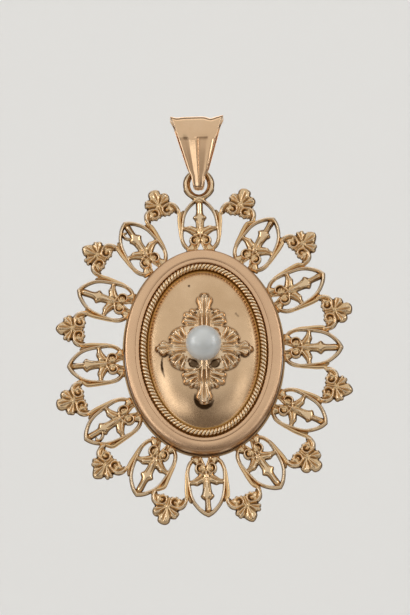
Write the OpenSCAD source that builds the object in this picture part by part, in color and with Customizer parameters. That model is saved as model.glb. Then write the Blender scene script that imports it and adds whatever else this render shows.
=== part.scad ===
// Oval medallion pendant with an openwork border, a domed centre with a pearl, and a swinging bail.
// Millimetres, +Z up, the front looks along -Y. The origin is the seat of the chain, inside the top of the bail.
// Clock angles are in degrees from the top, clockwise as seen from the front.

/* [Case] */
// Width of the oval case
case_w = 20.5; // [19:0.1:22]
// Height of the oval case
case_h = 27; // [26:0.1:28.5]
// Depth of the side wall
wall_depth = 2.7; // [2.3:0.1:3.2]
// How far the front edge of the wall stands before the border
edge_forward = 1.6; // [1.3:0.1:1.9]
// Thickness of the sheet of the case
sheet = 0.4; // [0.3:0.05:0.6]

/* [Bezel and dome] */
// Width of the convex face of the bezel
bezel_face = 1.2; // [0.9:0.05:1.4]
// Width of the bezel with its inner lip
bezel_w = 1.7; // [1.6:0.05:1.8]
// Height of the crest of the bezel over the edge of the wall
bezel_rise = 0.6; // [0.4:0.05:0.8]
// Distance from the outside of the case to the foot of the dome
dome_inset = 3.05; // [2.9:0.05:3.3]
// Height of the ledge of the rope wire over the edge of the wall
ledge_rise = 0.45; // [0.3:0.05:0.6]
// Height of the dome over its ledge
dome_rise = 1.45; // [1:0.05:2]
// Diameter of the rope wire
rope_d = 0.62; // [0.5:0.02:0.64]

/* [Openwork border] */
// Thickness of the border at its crests
border_t = 0.85; // [0.7:0.05:1]
// Width of the wires of the border
wire_w = 0.44; // [0.38:0.01:0.5]
// Width of the oval band that carries the border
band_w = 0.3; // [0.25:0.05:0.4]
// Outer diameter of the hanging ring
ring_d = 4.1; // [4:0.05:4.2]
// Thickness of the wire of the hanging ring
ring_wire = 0.84; // [0.8:0.02:0.88]

/* [Ornament and pearl] */
// Diameter of the pearl
pearl_d = 4.4; // [4:0.1:4.8]
// Half width of the leaf ornament
leaf_w = 6.4; // [6:0.1:6.6]
// Half height of the leaf ornament
leaf_h = 7.5; // [7:0.1:7.8]
// Thickness of the leaf ornament at its crests
leaf_t = 0.6; // [0.5:0.05:0.7]

/* [Bail] */
// Width of the bail at its top
bail_w = 6.6; // [6:0.1:7]
// Width of the bail at its foot
bail_foot_w = 1.2; // [1:0.05:1.3]
// Height of the bail
bail_h = 9.45; // [9.3:0.05:9.6]
// Thickness of the strap of the bail
strap_t = 0.38; // [0.3:0.02:0.42]

/* [Hidden] */
$fn = 32;
gap = 0.04;                                  // clearance between pieces that are not soldered
segments = 56;                               // sides of the ovals
crest_part = 0.5;                            // width of a wire's crest, as a part of its foot
back_step = 0.3;                             // the back stands out by this
back_inset = 0.9;
ledge_inset = 2.1;                           // outside of the ledge under the rope wire
post_r = 0.45;                               // post that holds the pearl cup, the ornament and the dome
peg_r = 0.35;
cup_r = 1.5;
case_a = case_w / 2;
case_b = case_h / 2;
y_edge = -edge_forward;                      // front edge of the side wall
y_back = y_edge + wall_depth;                // back edge of the side wall
dome_a = case_a - dome_inset;
dome_b = case_b - dome_inset;
apex = ledge_rise + dome_rise;               // top of the dome over the edge of the wall
rope_inset = 2.5;
rope_height = ledge_rise + gap + rope_d / 2;
pearl_height = 4.75;                         // middle of the pearl over the edge of the wall
cup_lip = sqrt(pow(pearl_d / 2 + gap, 2) - cup_r * cup_r);
cup_floor = sqrt(pow(pearl_d / 2 + gap, 2) - 1);
ring_z = 22.65;                              // middle of the hanging ring over the middle of the case
ring_r = (ring_d - ring_wire) / 2;
hinge_z = ring_z + ring_r;                   // the bail swings about the top of the ring
strap_foot = -2.2;                           // foot of the bail, from the hinge
hang_drop = hinge_z + strap_foot + bail_h - strap_t;  // from the seat of the chain to the middle of the case

// Twelve arches: clock angle of the feet, clock angle of the point, distance of the point from the middle
foot = 0; point = 1; reach = 2;
arches = [
    [0, 0, 20.9], [26.5, 28.5, 20.3], [53, 57.5, 19], [87.5, 89, 18.1], [126, 122, 18.5], [156.5, 152.5, 20.5],
    [181, 180, 21.6], [205, 206.6, 20.8], [231.5, 235.2, 19.2], [265, 266.2, 17.8], [305.3, 299, 18.5],
    [332.7, 331, 20.4]];

// Twelve palmettes, each after the arch of the same row: clock angle of the tip, distance of the tip
// from the middle, and the clock direction in which the palmette points
tip = 0; far = 1; aim = 2;
palmettes = [
    [15.6, 22.7, 18.4], [43.9, 21.7, 50.8], [73.9, 20.2, 79.7], [106.2, 20, 104.8], [137.1, 21.5, 132],
    [165.7, 23.2, 161.6], [194.9, 23.2, 195.8], [222.7, 21.8, 227.1], [251.7, 20.3, 255.4],
    [281.8, 19.6, 274.3], [313.7, 21.3, 302.4], [344.5, 22.8, 340]];

// Half of an arch and of its fleur, from the feet upwards, for an arch 7.3 high
arch_h = 7.3;
arch_side = [[1.1, 0.12], [1.7, 0.65], [2.1, 1.6], [2.25, 2.7], [2.2, 3.8], [1.95, 4.85], [1.3, 5.95], [0, 7.05]];
spear_point = [[0.2, 6.8], [0.62, 4.6], [0.3, 3.6]];
spear_root = [[0.4, 4.1], [0.4, 1]];
side_leaf = [[0.1, 2], [0.9, 3.25], [2.15, 2.95], [0.9, 1.7]];
curl = [0.88, 1.2];
curl_r = 0.66;

// Half of a palmette, measured from its tip
top_lobe = [[0.3, 0], [0.75, -0.9], [0.4, -3.4]];
side_lobe = [[0.3, -1.8], [0.9, -1.1], [1.65, -1.6], [0.7, -2.9]];
volute = [0.85, -3.15];
volute_r = 0.68;
shoulder = [[1.1, -2.45], [1.83, -2.9], [1.96, -4]];
// Outside of an arch, where the stem of a palmette lies against it
stem_seat = [[2.46, 4.5], [2.6, 3], [2.45, 1.5], [1.5, 0.25]];

// A quarter of the edge of the leaf ornament, from its upper tip to its right tip
leaf_edge = [[0, 7.45], [0.65, 7.3], [1, 6.7], [0.92, 5.9], [0.87, 5.4], [1.5, 5.15], [2.2, 4.8], [2.75, 4.1],
             [2.75, 3.5], [2.5, 2.9], [3.3, 2.85], [4.1, 2.4], [4.5, 1.7], [4.55, 1.05], [5.2, 1.05], [5.9, 0.9],
             [6.35, 0.35], [6.4, 0]];

function polar(clock, r) = [r * sin(clock), r * cos(clock)];
function oval_reach(clock, a, b) = 1 / sqrt(pow(sin(clock) / a, 2) + pow(cos(clock) / b, 2));
function aim_of(d) = atan2(d.x, d.y);
function turned(p, clock) = [p.x * cos(clock) + p.y * sin(clock), -p.x * sin(clock) + p.y * cos(clock)];
function sum(list, i = 0) = i == len(list) - 1 ? list[i] : list[i] + sum(list, i + 1);
function flip(points) = [for (p = points) [-p.x, p.y]];
function back(points) = [for (i = [len(points) - 1:-1:0]) points[i]];

// Outline of a ribbon of width w along a line, mitred where the line turns
function left_of(d) = [-d.y, d.x] / norm(d);
function ribbon(line, w) = let (
    last = len(line) - 1,
    side = [for (i = [0:last]) let (
        before = left_of(line[max(i, 1)] - line[max(i, 1) - 1]),
        after = left_of(line[min(i, last - 1) + 1] - line[min(i, last - 1)]),
        half = (before + after) / norm(before + after))
        half / max(half * after, 0.6)])
    concat([for (i = [0:last]) line[i] + side[i] * w / 2], [for (i = [last:-1:0]) line[i] - side[i] * w / 2]);
function oval_line(inward) = [for (k = [0:segments - 1])
    [(case_a - inward) * sin(360 * k / segments), (case_b - inward) * cos(360 * k / segments)]];

function arch_foot(i) = let (c = arches[i][foot]) polar(c, oval_reach(c, case_a + band_w / 2, case_b + band_w / 2));
function arch_tip(i) = polar(arches[i][point], arches[i][reach]);
// A point of an arch's own pattern in the plane of the border
function on_arch(i, p) = let (f = arch_foot(i), d = arch_tip(i) - f)
    f + turned([p.x, p.y * norm(d) / arch_h], aim_of(d));
function on_palmette(i, p) = polar(palmettes[i][tip], palmettes[i][far]) + turned(p, palmettes[i][aim]);
function stem_line(i, side) = let (arch = side < 0 ? i : (i + 1) % 12) concat(
    [for (p = shoulder) on_palmette(i, [side * p.x, p.y])],
    [for (p = stem_seat) on_arch(arch, [-side * p.x, p.y])]);

// Point at a height, on a grid of 0.002 so that faces which meet do so cleanly
function snapped(p, height) = [round(p.x * 500) / 500, round(p.y * 500) / 500, height];

module oval(inward) polygon(oval_line(inward));

// Bar of trapezium section along a line in the plane, its sides leaning in towards the front
module bar(line, w, t) {
    last = len(line) - 1;
    base = ribbon(line, w);
    crest = ribbon(line, w * crest_part);
    n = len(base);
    sides = [for (k = [0:n - 1]) [k, (k + 1) % n, n + (k + 1) % n, n + k]];
    backs = [for (k = [0:last - 1]) [k, n - 1 - k, n - 2 - k, k + 1]];
    fronts = [for (k = [0:last - 1]) [n + k, n + k + 1, 2 * n - 2 - k, 2 * n - 1 - k]];
    polyhedron(concat([for (p = base) snapped(p, 0)], [for (p = crest) snapped(p, t)]),
        concat(sides, backs, fronts));
}
// Leaf over a convex outline, its sides leaning in towards its front
module leaf(outline, t, draw_in = 0.12) {
    n = len(outline);
    middle = sum(outline) / n;
    crest = [for (p = outline) let (d = middle - p) p + d / norm(d) * draw_in];
    polyhedron(concat([for (p = outline) snapped(p, 0)], [for (p = crest) snapped(p, t)]),
        concat([[for (k = [0:n - 1]) k], [for (k = [n - 1:-1:0]) n + k]],
            [for (k = [0:n - 1]) [n + k, n + (k + 1) % n, (k + 1) % n, k]]));
}
// Curled end of a leaf or stem, as a low round boss
module boss(r, t) hull() {
    cylinder(r = r, h = 0.01, $fn = 7);
    translate([0, 0, t]) cylinder(r = r * 0.5, h = 0.01, $fn = 5);
}

module arch(i) {
    line = concat(arch_side, back(flip([for (k = [0:len(arch_side) - 2]) arch_side[k]])));
    bar([for (p = line) on_arch(i, p)], wire_w, border_t * 0.9);
    for (part = [spear_point, spear_root])
        leaf(back([for (p = concat(part, back(flip(part)))) on_arch(i, p)]), border_t);
    for (side = [-1, 1]) {
        outline = [for (p = side_leaf) on_arch(i, [side * p.x, p.y])];
        leaf(side < 0 ? outline : back(outline), border_t);
        translate(on_arch(i, [side * curl.x, curl.y])) boss(curl_r, border_t * 0.85);
    }
}
module palmette(i) {
    leaf(back([for (p = concat(top_lobe, back(flip(top_lobe)))) on_palmette(i, p)]), border_t, 0.3);
    for (side = [-1, 1]) {
        outline = [for (p = side_lobe) on_palmette(i, [side * p.x, p.y])];
        leaf(side < 0 ? outline : back(outline), border_t * 0.9, 0.3);
        translate(on_palmette(i, [side * volute.x, volute.y])) boss(volute_r, border_t * 0.95);
        bar(stem_line(i, side), wire_w, border_t * 0.8);
    }
}

module facing(y) translate([0, y, -hang_drop]) rotate([90, 0, 0]) children();

module openwork_border() color("#cdab74") facing(border_t / 2) {
    for (i = [0:11]) {
        arch(i);
        palmette(i);
    }
    difference() {
        linear_extrude(border_t * 0.7) oval(-gap - band_w);
        translate([0, 0, -1]) linear_extrude(3) oval(-gap);
    }
    translate([0, ring_z, border_t / 2]) rotate_extrude($fn = 20)
        translate([ring_r, 0]) circle(d = ring_wire, $fn = 6);
}

// Ring-shaped solid on the oval plan: each row is [half width, half height, height over the plane]
module oval_lathe(rows) {
    n = len(rows);
    points = [for (row = rows, k = [0:segments - 1]) let (turn = 360 * k / segments)
        [row[0] * sin(turn), row[1] * cos(turn), row[2]]];
    polyhedron(points, [for (c = [0:n - 1], k = [0:segments - 1])
        let (next = (c + 1) % n, turn = (k + 1) % segments)
        [next * segments + k, next * segments + turn, c * segments + turn, c * segments + k]]);
}
// Row of an oval lathe, this far inward from the outside of the case
function rim_row(inward, height) = [case_a - inward, case_b - inward, height];
function dome_row(part, wall) = [(dome_a - wall) * part, (dome_b - wall) * part,
    ledge_rise - wall + dome_rise * (1 - pow(part, 2.7))];

module case_back() color("#c39a6a") facing(y_back) {
    difference() {
        linear_extrude(wall_depth) oval(0);
        translate([0, 0, sheet]) linear_extrude(wall_depth) oval(sheet);
    }
    translate([0, 0, -back_step]) linear_extrude(back_step + 0.1) oval(back_inset);
}

module bezel() color("#d2aa84") facing(y_edge)
    oval_lathe([rim_row(0, gap), rim_row(bezel_w, gap), rim_row(bezel_w, bezel_rise * 0.75),
        rim_row(bezel_w - 0.2, bezel_rise), rim_row(bezel_face, bezel_rise * 0.93), rim_row(0.45, bezel_rise * 0.8),
        rim_row(0.05, bezel_rise * 0.4)]);

module domed_cover() color("#d8b48c") facing(y_edge) {
    hole = post_r + gap;
    oval_lathe([rim_row(sheet + gap, -sheet), dome_row(1, sheet), dome_row(0.6, sheet),
        [hole, hole, apex - sheet], [hole, hole, apex], dome_row(0.45, 0), dome_row(0.75, 0),
        dome_row(0.9, 0), dome_row(1, 0), rim_row(ledge_inset, ledge_rise), rim_row(ledge_inset, 0),
        rim_row(sheet + gap, 0)]);
}

module rope_wire() color("#b98a4a") facing(y_edge)
    oval_lathe([for (k = [0:4]) rim_row(rope_inset + rope_d / 2 * sin(72 * k), rope_height - rope_d / 2 * cos(72 * k))]);

function leaf_bed(p) = apex - 0.44 * (pow(p.x * 1.35, 2) + p.y * p.y) / 56;
module leaf_ornament() color("#d0a878") facing(y_edge) {
    quarter = [for (p = leaf_edge) [p.x * leaf_w / 6.4, p.y * leaf_h / 7.45]];
    inner = [for (k = [1:len(quarter) - 2]) quarter[k]];
    edge = concat(quarter, back([for (p = inner) [p.x, -p.y]]), -quarter, back(flip(inner)));
    n = len(edge);
    crests = [[0, 0], [0.6, 0], [1, 0], [1, 0.4], [0.86, 0.9], [0.6, 0.6], [0.35, 0.88], [0, 0.8]];
    points = [for (c = crests, p = edge) let (q = c[0] == 0 ? p / norm(p) * (post_r + gap) : p * c[0])
        [q.x, q.y, leaf_bed(q) + gap + leaf_t * c[1] * (c[0] > 0.5 ? 0.8 + 0.2 * pow(cos(2 * aim_of(p)), 2) : 1)]];
    rows = len(crests);
    polyhedron(points, [for (r = [0:rows - 1], k = [0:n - 1]) let (next = (r + 1) % rows, turn = (k + 1) % n)
        [r * n + k, r * n + turn, next * n + turn, next * n + k]]);
}

module pearl_cup() color("#c8a060") facing(y_edge) {
    seat = apex + leaf_t * 0.8 + 2 * gap;
    rotate_extrude() polygon([[0, apex - sheet - 0.3], [0.8, apex - sheet - 0.3], [0.8, apex - sheet - 0.1],
        [post_r, apex - sheet - 0.1], [post_r, seat], [0.95, seat], [cup_r, pearl_height - cup_lip - 0.2],
        [cup_r, pearl_height - cup_lip], [1, pearl_height - cup_floor], [peg_r, pearl_height - pearl_d / 2 - gap],
        [peg_r, pearl_height - 0.4], [0, pearl_height - 0.4]]);
}

module pearl() color("#e4e4e0") facing(y_edge) difference() {
    translate([0, 0, pearl_height]) sphere(d = pearl_d, $fn = 96);
    cylinder(r = peg_r + gap, h = pearl_height - 0.3);
}

// Side view of the front strap of the bail, from its foot upwards, measured from the hinge
strap_line = [[0.17, strap_foot], [0.17, -1.7], [0.66, -1.1], [1.02, -0.3], [1.2, 1], [1.62, 4.3]];
function bail_half(z) = (bail_foot_w + (bail_w - bail_foot_w) * (z - strap_foot) / bail_h) / 2;
module strap_section(p, lean) {
    half = bail_half(p.y);
    translate([0, p.x, p.y]) rotate([lean, 0, 0]) linear_extrude(0.01)
        polygon([[-half, strap_t / 2], [half, strap_t / 2], [half, 0], [0, -strap_t / 2], [-half, 0]]);
}
module bail() color("#d8b890") translate([0, 0, hinge_z - hang_drop]) {
    bend_r = 1.66;
    bend_z = strap_foot + bail_h - bend_r - strap_t / 2;
    line = concat([for (p = strap_line) [-p.x, p.y]],
        [for (a = [0:22.5:180]) [-bend_r * cos(a), bend_z + bend_r * sin(a)]], back(strap_line));
    last = len(line) - 1;
    for (k = [0:last - 1]) {
        d = line[k + 1] - line[k];
        lean = atan2(-d.x, d.y);
        hull() {
            strap_section(line[k], lean);
            strap_section(line[k + 1], lean);
        }
    }
}

bail();
openwork_border();
case_back();
bezel();
domed_cover();
rope_wire();
leaf_ornament();
pearl_cup();
pearl();
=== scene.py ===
import math
import bpy
import numpy as np
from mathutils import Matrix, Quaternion, Vector, kdtree


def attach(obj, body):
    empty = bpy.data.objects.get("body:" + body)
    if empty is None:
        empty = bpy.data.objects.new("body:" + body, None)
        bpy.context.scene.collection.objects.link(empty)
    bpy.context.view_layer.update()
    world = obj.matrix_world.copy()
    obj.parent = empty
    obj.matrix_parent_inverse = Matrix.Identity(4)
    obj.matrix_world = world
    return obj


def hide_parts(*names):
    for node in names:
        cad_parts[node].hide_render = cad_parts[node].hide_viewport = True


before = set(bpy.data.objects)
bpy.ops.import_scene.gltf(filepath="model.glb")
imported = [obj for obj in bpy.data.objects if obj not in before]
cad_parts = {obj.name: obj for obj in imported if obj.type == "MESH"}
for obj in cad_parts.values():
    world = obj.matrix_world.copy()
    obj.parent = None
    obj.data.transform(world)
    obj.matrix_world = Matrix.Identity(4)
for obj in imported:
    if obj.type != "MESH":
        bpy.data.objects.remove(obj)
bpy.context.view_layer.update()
print("frame loaded")

# All shapes are worked out in millimetres on the plan of the medallion: x to the right, y up from the middle
# of the case, h towards the viewer. toFrame puts them in the row frame, in metres.
plan = {
    "drop": 31.15,          # seat of the chain to the middle of the case
    "hinge": 24.28,         # middle of the top wire of the ring over the middle of the case
    "borderBack": 0.425,    # back of the border, behind the plane of the bail
    "edge": -1.6,           # front edge of the case wall
    "caseA": 10.25,
    "caseB": 13.5,
}
mm = 0.001              # in metres
toMm = 1000
fullTurn = 2 * math.pi


def toFrame(points, yBase):
    p = np.asarray(points, float)
    return np.column_stack([p[:, 0], yBase - p[:, 2], p[:, 1] - plan["drop"]]) * mm


def addObject(name, data):
    obj = bpy.data.objects.new(name, data)
    bpy.context.scene.collection.objects.link(obj)
    return obj


def newObject(name, verts, faces):
    mesh = bpy.data.meshes.new(name)
    mesh.from_pydata([tuple(v) for v in verts], [], faces)
    mesh.validate(clean_customdata=False)
    mesh.shade_smooth()
    return addObject(name, mesh)


def pointsOf(obj, value="co"):
    co = np.zeros(len(obj.data.vertices) * 3)
    obj.data.vertices.foreach_get(value, co)
    return co.reshape(-1, 3)


def setPoints(obj, co):
    obj.data.vertices.foreach_set("co", np.ascontiguousarray(co, float).ravel())
    obj.data.update()


def addPointValue(obj, name, values, kind="FLOAT"):
    layer = obj.data.attributes.get(name) or obj.data.attributes.new(name, kind, "POINT")
    layer.data.foreach_set("value", np.asarray(values, np.float32 if kind == "FLOAT" else np.int32))


def pointValues(obj, name):
    values = np.zeros(len(obj.data.vertices), np.float32)
    obj.data.attributes[name].data.foreach_get("value", values)
    return values


def asPlainMesh(obj):
    # the evaluated object as a plain mesh, with no modifier left on it
    name = obj.name
    view = bpy.context.evaluated_depsgraph_get()
    view.update()
    made = obj.evaluated_get(view)
    mesh = bpy.data.meshes.new_from_object(made, preserve_all_data_layers=True, depsgraph=view)
    bpy.data.objects.remove(obj)
    mesh.name = name
    return addObject(name, mesh)


def smoothLine(rows, steps=6, closed=False):
    p = np.array(rows, float)
    p = np.vstack([p[-1:], p, p[:2]]) if closed else np.vstack([2 * p[0] - p[1], p, 2 * p[-1] - p[-2]])
    t = np.linspace(0, 1, steps, endpoint=False)[:, None]
    out = []
    for a, b, c, d in zip(p[:-3], p[1:-2], p[2:-1], p[3:]):
        out.append(0.5 * (2 * b + (c - a) * t + (2 * a - 5 * b + 4 * c - d) * t ** 2
                          + (3 * b - a - 3 * c + d) * t ** 3))
    return np.vstack(out if closed else out + [p[-2:-1]])


def bothHalves(half):
    # a closed outline from its right half, given from the top to the bottom
    return [list(p) for p in half] + [[-p[0], p[1]] for p in reversed(half) if abs(p[0]) > 1e-6]


# ---- cast relief: plates and strokes are raised, carved or cut on a fine grid ----

def stroke(rows, roundness=2.2, steps=6, kind="raise"):
    # rows of [x, y, half width, crest]
    return {"rows": rows, "round": roundness, "steps": steps, "kind": kind}


def dot(x, y, halfWidth, crest, roundness=1.8):
    return stroke([[x, y, halfWidth, crest], [x + 0.01, y, halfWidth, crest]], roundness)


def carve(rows, steps=6):
    return stroke(rows, 2, steps, "carve")


def plate(outline, rise, bevel, power=0.8, steps=4, kind="raise"):
    # a flat piece that rises to its full height over the width of the bevel
    return {"outline": outline, "rise": rise, "bevel": bevel, "power": power, "steps": steps, "kind": kind}


def flipped(form, sx=-1, sy=1):
    key = "rows" if "rows" in form else "outline"
    return dict(form, **{key: [[sx * row[0], sy * row[1], *row[2:]] for row in form[key]]})


def strokeField(gx, gy, line):
    # nearest point of the line: distance as a share of the half width there, the half width, and the crest
    best = np.full(gx.shape, 1e9)
    width = np.ones(gx.shape)
    crest = np.zeros(gx.shape)
    for a, b in zip(line[:-1], line[1:]):
        ab = b[:2] - a[:2]
        u = np.clip(((gx - a[0]) * ab[0] + (gy - a[1]) * ab[1]) / max(float(ab @ ab), 1e-9), 0, 1)
        w = a[2] + u * (b[2] - a[2])
        t = np.hypot(gx - a[0] - u * ab[0], gy - a[1] - u * ab[1]) / w
        near = t < best
        best = np.where(near, t, best)
        width = np.where(near, w, width)
        crest = np.where(near, a[3] + u * (b[3] - a[3]), crest)
    return best, width, crest


def plateField(gx, gy, outline):
    # distance to a closed outline, positive inside it
    nearest = np.full(gx.shape, 1e9)
    inside = np.zeros(gx.shape, bool)
    for a, b in zip(outline, np.roll(outline, -1, axis=0)):
        ab = b - a
        u = np.clip(((gx - a[0]) * ab[0] + (gy - a[1]) * ab[1]) / max(float(ab @ ab), 1e-9), 0, 1)
        nearest = np.minimum(nearest, np.hypot(gx - a[0] - u * ab[0], gy - a[1] - u * ab[1]))
        if a[1] != b[1]:
            inside ^= ((a[1] > gy) != (b[1] > gy)) & (gx < a[0] + (gy - a[1]) * ab[0] / ab[1])
    return np.where(inside, nearest, -nearest)


def softMax(a, b, r):
    k = np.maximum(r - np.abs(a - b), 0) / r
    return np.maximum(a, b) + k * k * r / 4


def reliefField(forms, box, cell):
    x0, y0, x1, y1 = box
    xs = x0 + cell * np.arange(int(round((x1 - x0) / cell)) + 1)
    ys = y0 + cell * np.arange(int(round((y1 - y0) / cell)) + 1)
    gx, gy = np.meshgrid(xs, ys)
    inside = np.full(gx.shape, -9.0)        # far outside, until a form covers it
    height = np.zeros(gx.shape)
    for form in forms:
        if "outline" in form:
            d = plateField(gx, gy, smoothLine(form["outline"], form["steps"], closed=True))
            bump = form["rise"] * np.clip(d / form["bevel"], 0, 1) ** form["power"] * (d > 0)
        else:
            rows = form["rows"]
            line = smoothLine(rows, form["steps"]) if len(rows) > 2 else np.array(rows, float)
            t, w, crest = strokeField(gx, gy, line)
            d = w * (1 - t)
            bump = crest * np.clip(1 - t ** form["round"], 0, None)
        if form["kind"] == "carve":
            height = height - bump
        elif form["kind"] == "cut":
            inside = np.minimum(inside, -d)
        else:
            inside = np.maximum(inside, d)
            height = softMax(height, bump, reliefLook["join"])
    return {"xs": xs, "ys": ys, "cell": cell, "inside": inside, "height": height}


def blurred(values, times, step=1):
    ny, nx = values.shape
    for _ in range(times):
        p = np.pad(values, step, mode="edge")
        values = (4 * values + p[:ny, step:-step] + p[2 * step:, step:-step] + p[step:-step, :nx]
                  + p[step:-step, 2 * step:]) / 8
    return values


def sampled(field, values, x, y):
    fx = np.clip((x - field["xs"][0]) / field["cell"], 0, len(field["xs"]) - 1.001)
    fy = np.clip((y - field["ys"][0]) / field["cell"], 0, len(field["ys"]) - 1.001)
    i, j = fx.astype(int), fy.astype(int)
    u, v = fx - i, fy - j
    return (values[j, i] * (1 - u) * (1 - v) + values[j, i + 1] * u * (1 - v)
            + values[j + 1, i] * (1 - u) * v + values[j + 1, i + 1] * u * v)


def outlineMesh(field):
    # corners and faces of the part of the grid that lies inside the outline, cut along it
    xs, ys, f = field["xs"], field["ys"], field["inside"]
    on = f > 0
    number = np.full(f.shape, -1)
    number[on] = np.arange(on.sum())
    first = int(on.sum())
    jj, ii = np.nonzero(on)
    verts = [(xs[i], ys[j]) for j, i in zip(jj, ii)]
    made, polys, rim = {}, [], []

    def crossing(a, b):
        key = (a, b) if a < b else (b, a)
        if key not in made:
            (ja, ia), (jb, ib) = key
            t = min(max(f[ja, ia] / (f[ja, ia] - f[jb, ib]), 0.1), 0.9)     # never quite at a corner
            made[key] = len(verts)
            verts.append((xs[ia] + t * (xs[ib] - xs[ia]), ys[ja] + t * (ys[jb] - ys[ja])))
        return made[key]

    count = on[:-1, :-1].astype(int) + on[:-1, 1:] + on[1:, 1:] + on[1:, :-1]
    for j, i in zip(*np.nonzero(count == 4)):
        polys.append((number[j, i], number[j, i + 1], number[j + 1, i + 1], number[j + 1, i]))
    for j, i in zip(*np.nonzero((count > 0) & (count < 4))):
        corners = [(j, i), (j, i + 1), (j + 1, i + 1), (j + 1, i)]
        flags = [on[c] for c in corners]
        apart = count[j, i] == 2 and flags[0] == flags[2]      # two opposite corners stay apart
        for loop in ([[k] for k in range(4) if flags[k]] if apart else [range(4)]):
            poly = []
            for k in loop:
                here, after, before = corners[k], corners[(k + 1) % 4], corners[k - 1]
                if apart:
                    poly = [crossing(before, here), number[here], crossing(here, after)]
                    break
                if flags[k]:
                    poly.append(number[here])
                if flags[k] != flags[(k + 1) % 4]:
                    poly.append(crossing(here, after))
            polys.append(tuple(poly))
            rim += [(a, b) for a, b in zip(poly, poly[1:] + poly[:1]) if a >= first and b >= first]
    return np.array(verts), polys, rim


def reliefSolid(name, forms, box, **changes):
    look = dict(reliefLook, **changes)
    field = reliefField(forms, box, look["cell"])
    field["height"] = blurred(field["height"], look["blur"])
    flat, polys, rim = outlineMesh(field)
    n = len(flat)
    x, y = flat[:, 0], flat[:, 1]
    deep = np.clip(sampled(field, field["inside"], x, y), 0, None)
    nearRim = np.clip(1 - deep / look["lipWidth"], 0, 1) ** 2
    relief = np.clip(sampled(field, field["height"], x, y), look["floor"], None)
    top = look["edge"] - look["lip"] * nearRim + relief
    points = np.vstack([np.column_stack([x, y, top]), np.column_stack([x, y, look["backRound"] * nearRim])])
    faces = [tuple(p) for p in polys] + [tuple(n + k for k in reversed(p)) for p in polys]
    faces += [(b, a, n + a, n + b) for a, b in rim]
    obj = newObject(name, points, faces)
    thin = obj.modifiers.new("thin", "DECIMATE")
    thin.ratio = look["keep"]
    obj = asPlainMesh(obj)
    co = pointsOf(obj)
    # what lies under its surroundings gets painted shade; what stands over them is a crest, brightened partly
    # as rubbed wear and partly as a painted highlight
    solid = (field["inside"] > 0).astype(float)
    wide = look["surroundings"]
    around = blurred(field["height"] * solid, *wide) / np.maximum(blurred(solid, *wide), 0.05)
    sink = sampled(field, blurred(around - field["height"], 2), co[:, 0], co[:, 1]) / look["hollowDepth"]
    # side walls get painted shade as well
    front = np.clip((co[:, 2] - look["edge"] * look["sideTop"]) / look["sideFade"], 0, 1)
    addPointValue(obj, "hollow", np.clip(sink, 0, 1) * front + look["sideDark"] * (1 - front))
    addPointValue(obj, "crest", np.clip(-sink, 0, 1) * front)
    print(name, len(obj.data.polygons))
    return obj, field


reliefLook = {
    "cell": 0.05, "edge": 0.36, "join": 0.05,           # grid, height of the rim, rounding where forms meet
    "lip": 0.1, "lipWidth": 0.13, "backRound": 0.1,     # the rim is a little rounded in front and behind
    "blur": 1, "floor": -0.25, "keep": 0.4,             # smoothing, deepest hollow, share of the faces kept
    "hollowDepth": 0.2, "surroundings": (12, 3),        # how deep a hollow is for full painted shade, and over what surroundings
    # painted shade on the side walls, the height where they end and the fade over it
    "sideDark": 0.4, "sideTop": 0.55, "sideFade": 0.08,
}

# ---- nodes and materials ----

def fill(node, inputs):
    # each input gets a value, or is linked where it is given a socket or a node, whose first output is meant
    for key, value in inputs.items():
        if isinstance(value, bpy.types.Node):
            value = value.outputs[0]
        if isinstance(value, bpy.types.NodeSocket):
            node.id_data.links.new(value, node.inputs[key])
        else:
            node.inputs[key].default_value = value


def nodeMaker(tree):
    def new(kind, inputs=None, **settings):
        node = tree.nodes.new(kind)
        for key, value in settings.items():
            setattr(node, key, value)
        fill(node, inputs or {})
        return node
    return new


def makeTree(treeType, name, inputs, outputs):
    tree = bpy.data.node_groups.new(name, treeType)
    for way, rows in (("INPUT", inputs), ("OUTPUT", outputs)):
        for label, kind, *value in rows:
            socket = tree.interface.new_socket(label, in_out=way, socket_type="NodeSocket" + kind)
            if value:
                socket.default_value = value[0]
    return tree, nodeMaker(tree), tree.nodes.new("NodeGroupInput").outputs


def colourMix(new, share, first, second):
    return new("ShaderNodeMix", {"Factor": share, 6: first, 7: second}, data_type="RGBA").outputs[2]


# painted shade in the hollows and their roughness, and the grain and scratches of wear
goldWearAndShade = {"hollowPower": 1.2, "grainRough": 0.16, "hollowRough": 0.25, "scratchDepth": 0.3}


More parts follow.
